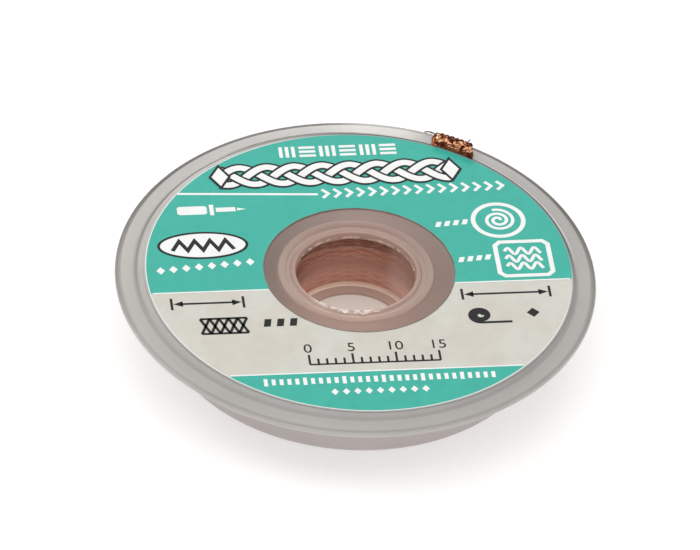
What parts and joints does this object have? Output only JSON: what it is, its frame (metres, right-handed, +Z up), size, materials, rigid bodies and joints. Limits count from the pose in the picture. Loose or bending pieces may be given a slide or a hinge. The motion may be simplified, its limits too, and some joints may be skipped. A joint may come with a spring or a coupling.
{
  "type": "desoldering braid bobbin",
  "caption": "Copper desoldering braid wound in a flat two-part translucent plastic spool, with a ring label and a through bore, its cut end laid on the rim.",
  "frame": {"origin": "middle of the flat base, where the bore's axis meets it", "axes": "+Z up along the bore's axis, towards the label; +Y to the back, where the braid's cut end lies on the rim"},
  "size_m": [0.0558, 0.0558, 0.0092],
  "materials": {
    "flange_plastic": "milky translucent polypropylene, satin",
    "dish_plastic": "milky translucent polypropylene, satin",
    "label_print": "printed self-adhesive film, teal and pale grey",
    "copper_braid": null
  },
  "bodies": {
    "root": {"top_flange": "flange_plastic", "lower_dish": "dish_plastic", "label": "label_print", "braid": "copper_braid"}
  },
  "joints": []
}
